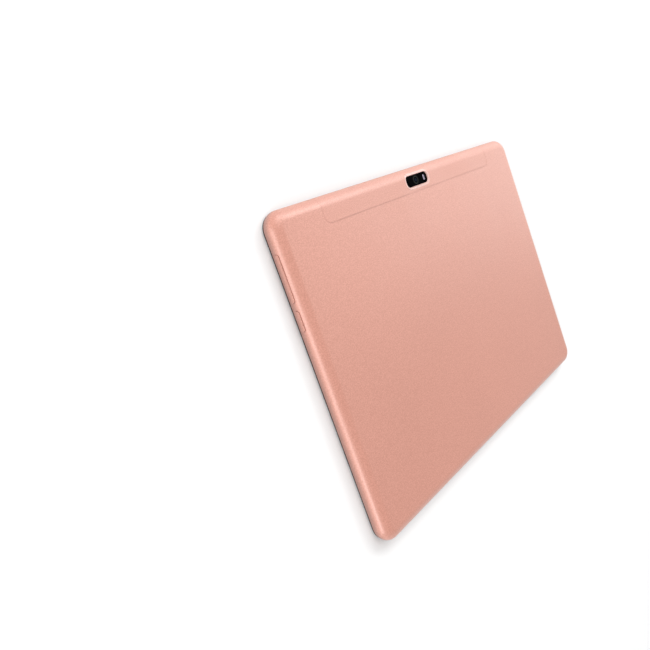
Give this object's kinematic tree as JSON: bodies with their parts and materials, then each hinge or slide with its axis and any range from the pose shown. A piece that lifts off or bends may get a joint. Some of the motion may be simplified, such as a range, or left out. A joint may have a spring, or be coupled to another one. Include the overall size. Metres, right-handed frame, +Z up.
{
  "type": "tablet computer",
  "caption": "Slim tablet computer lying on its display: rose gold metal back with rolled edges, lift-off card cover with a dark camera window, side keys and sockets.",
  "frame": {"origin": "centre of the footprint, on the outer face of the display glass", "axes": "+X along the long edge, with the side keys on the -X end; +Y towards the long edge with the camera window; +Z up, out of the metal back"},
  "size_m": [0.2423, 0.17, 0.0089],
  "materials": {
    "rose_metal": "rose gold anodised, fine satin grain",
    "rose_plastic": "rose gold paint to match the metal",
    "rose_polished": "bright cut bevel",
    "window_glass": "dark tinted, polished",
    "flash_diffuser": "milky",
    "black_bezel": "fine matt",
    "cover_glass": "black printed back, polished face",
    "adhesive": "foam tape",
    "touch_film": "clear laminated film",
    "lcd": "polarised panel",
    "backlight": "white tray with foil back",
    "steel_sheet": "pressed sheet",
    "screw_steel": "blackened",
    "brass_spacer": "turned",
    "board": "green solder mask",
    "black_board": "dark solder mask",
    "chip_resin": "moulded resin",
    "tin_shield": "tinned sheet",
    "connector_steel": "nickel plated",
    "black_nylon": "moulded",
    "flex": "amber film",
    "pouch": "foil laminate",
    "switch_metal": "stamped",
    "foil": "etched copper foil",
    "mesh": "woven dust mesh",
    "lead": "insulated wires"
  },
  "bodies": {
    "tablet_body": {"rear_cover": "rose_metal", "volume_up_switch": "switch_metal", "volume_down_switch": "switch_metal", "power_switch": "switch_metal", "side_key_board": "black_board", "key_bracket": "steel_sheet", "key_flex": "flex", "front_frame": "black_bezel", "front_glass": "cover_glass", "glass_tape": "adhesive", "touch_sensor": "touch_film", "touch_flex": "flex", "lcd_panel": "lcd", "backlight_unit": "backlight", "display_flex": "flex", "chassis_plate": "steel_sheet", "chassis_screws": "screw_steel", "cover_screws": "screw_steel", "board_screws": "screw_steel", "board_standoffs": "brass_spacer", "main_board": "board", "processor_chip": "chip_resin", "memory_chip": "chip_resin", "storage_chip": "chip_resin", "power_chip": "chip_resin", "radio_chip": "chip_resin", "processor_shield": "tin_shield", "radio_shield": "tin_shield", "sim_slot_one": "connector_steel", "sim_slot_two": "connector_steel", "microsd_slot": "connector_steel", "usb_port": "connector_steel", "headphone_jack": "black_nylon", "microphone": "connector_steel", "rear_camera_module": "black_nylon", "camera_gasket": "adhesive", "front_camera_module": "black_nylon", "flash_led": "flash_diffuser", "battery_cell_left": "pouch", "battery_cell_right": "pouch", "battery_tape": "adhesive", "battery_board": "board", "battery_lead": "lead", "speaker_left": "black_nylon", "speaker_right": "black_nylon", "speaker_meshes": "mesh", "cell_antenna": "foil", "wifi_antenna": "foil"},
    "volume_key": {"volume_rocker": "rose_metal"},
    "power_key": {"power_button": "rose_metal"},
    "cover_strip": {"card_cover": "rose_plastic", "camera_trim_ring": "rose_polished", "camera_window": "window_glass", "flash_lens": "flash_diffuser"}
  },
  "joints": [
    {"name": "volume_tilt", "type": "hinge", "parent": "tablet_body", "child": "volume_key", "pos_m": [-0.11935, 0.0537, 0.0038], "axis": [0, 0, 1], "range_deg": [-1.5, 1.5], "stiffness_Nm_per_rad": 0.4},
    {"name": "power_press", "type": "slide", "parent": "tablet_body", "child": "power_key", "axis": [1, 0, 0], "range_m": [0, 0.0003], "stiffness_N_per_m": 600},
    {"name": "card_cover_lift", "type": "slide", "parent": "tablet_body", "child": "cover_strip", "axis": [0, 0, 1], "range_m": [0, 0.025]}
  ]
}
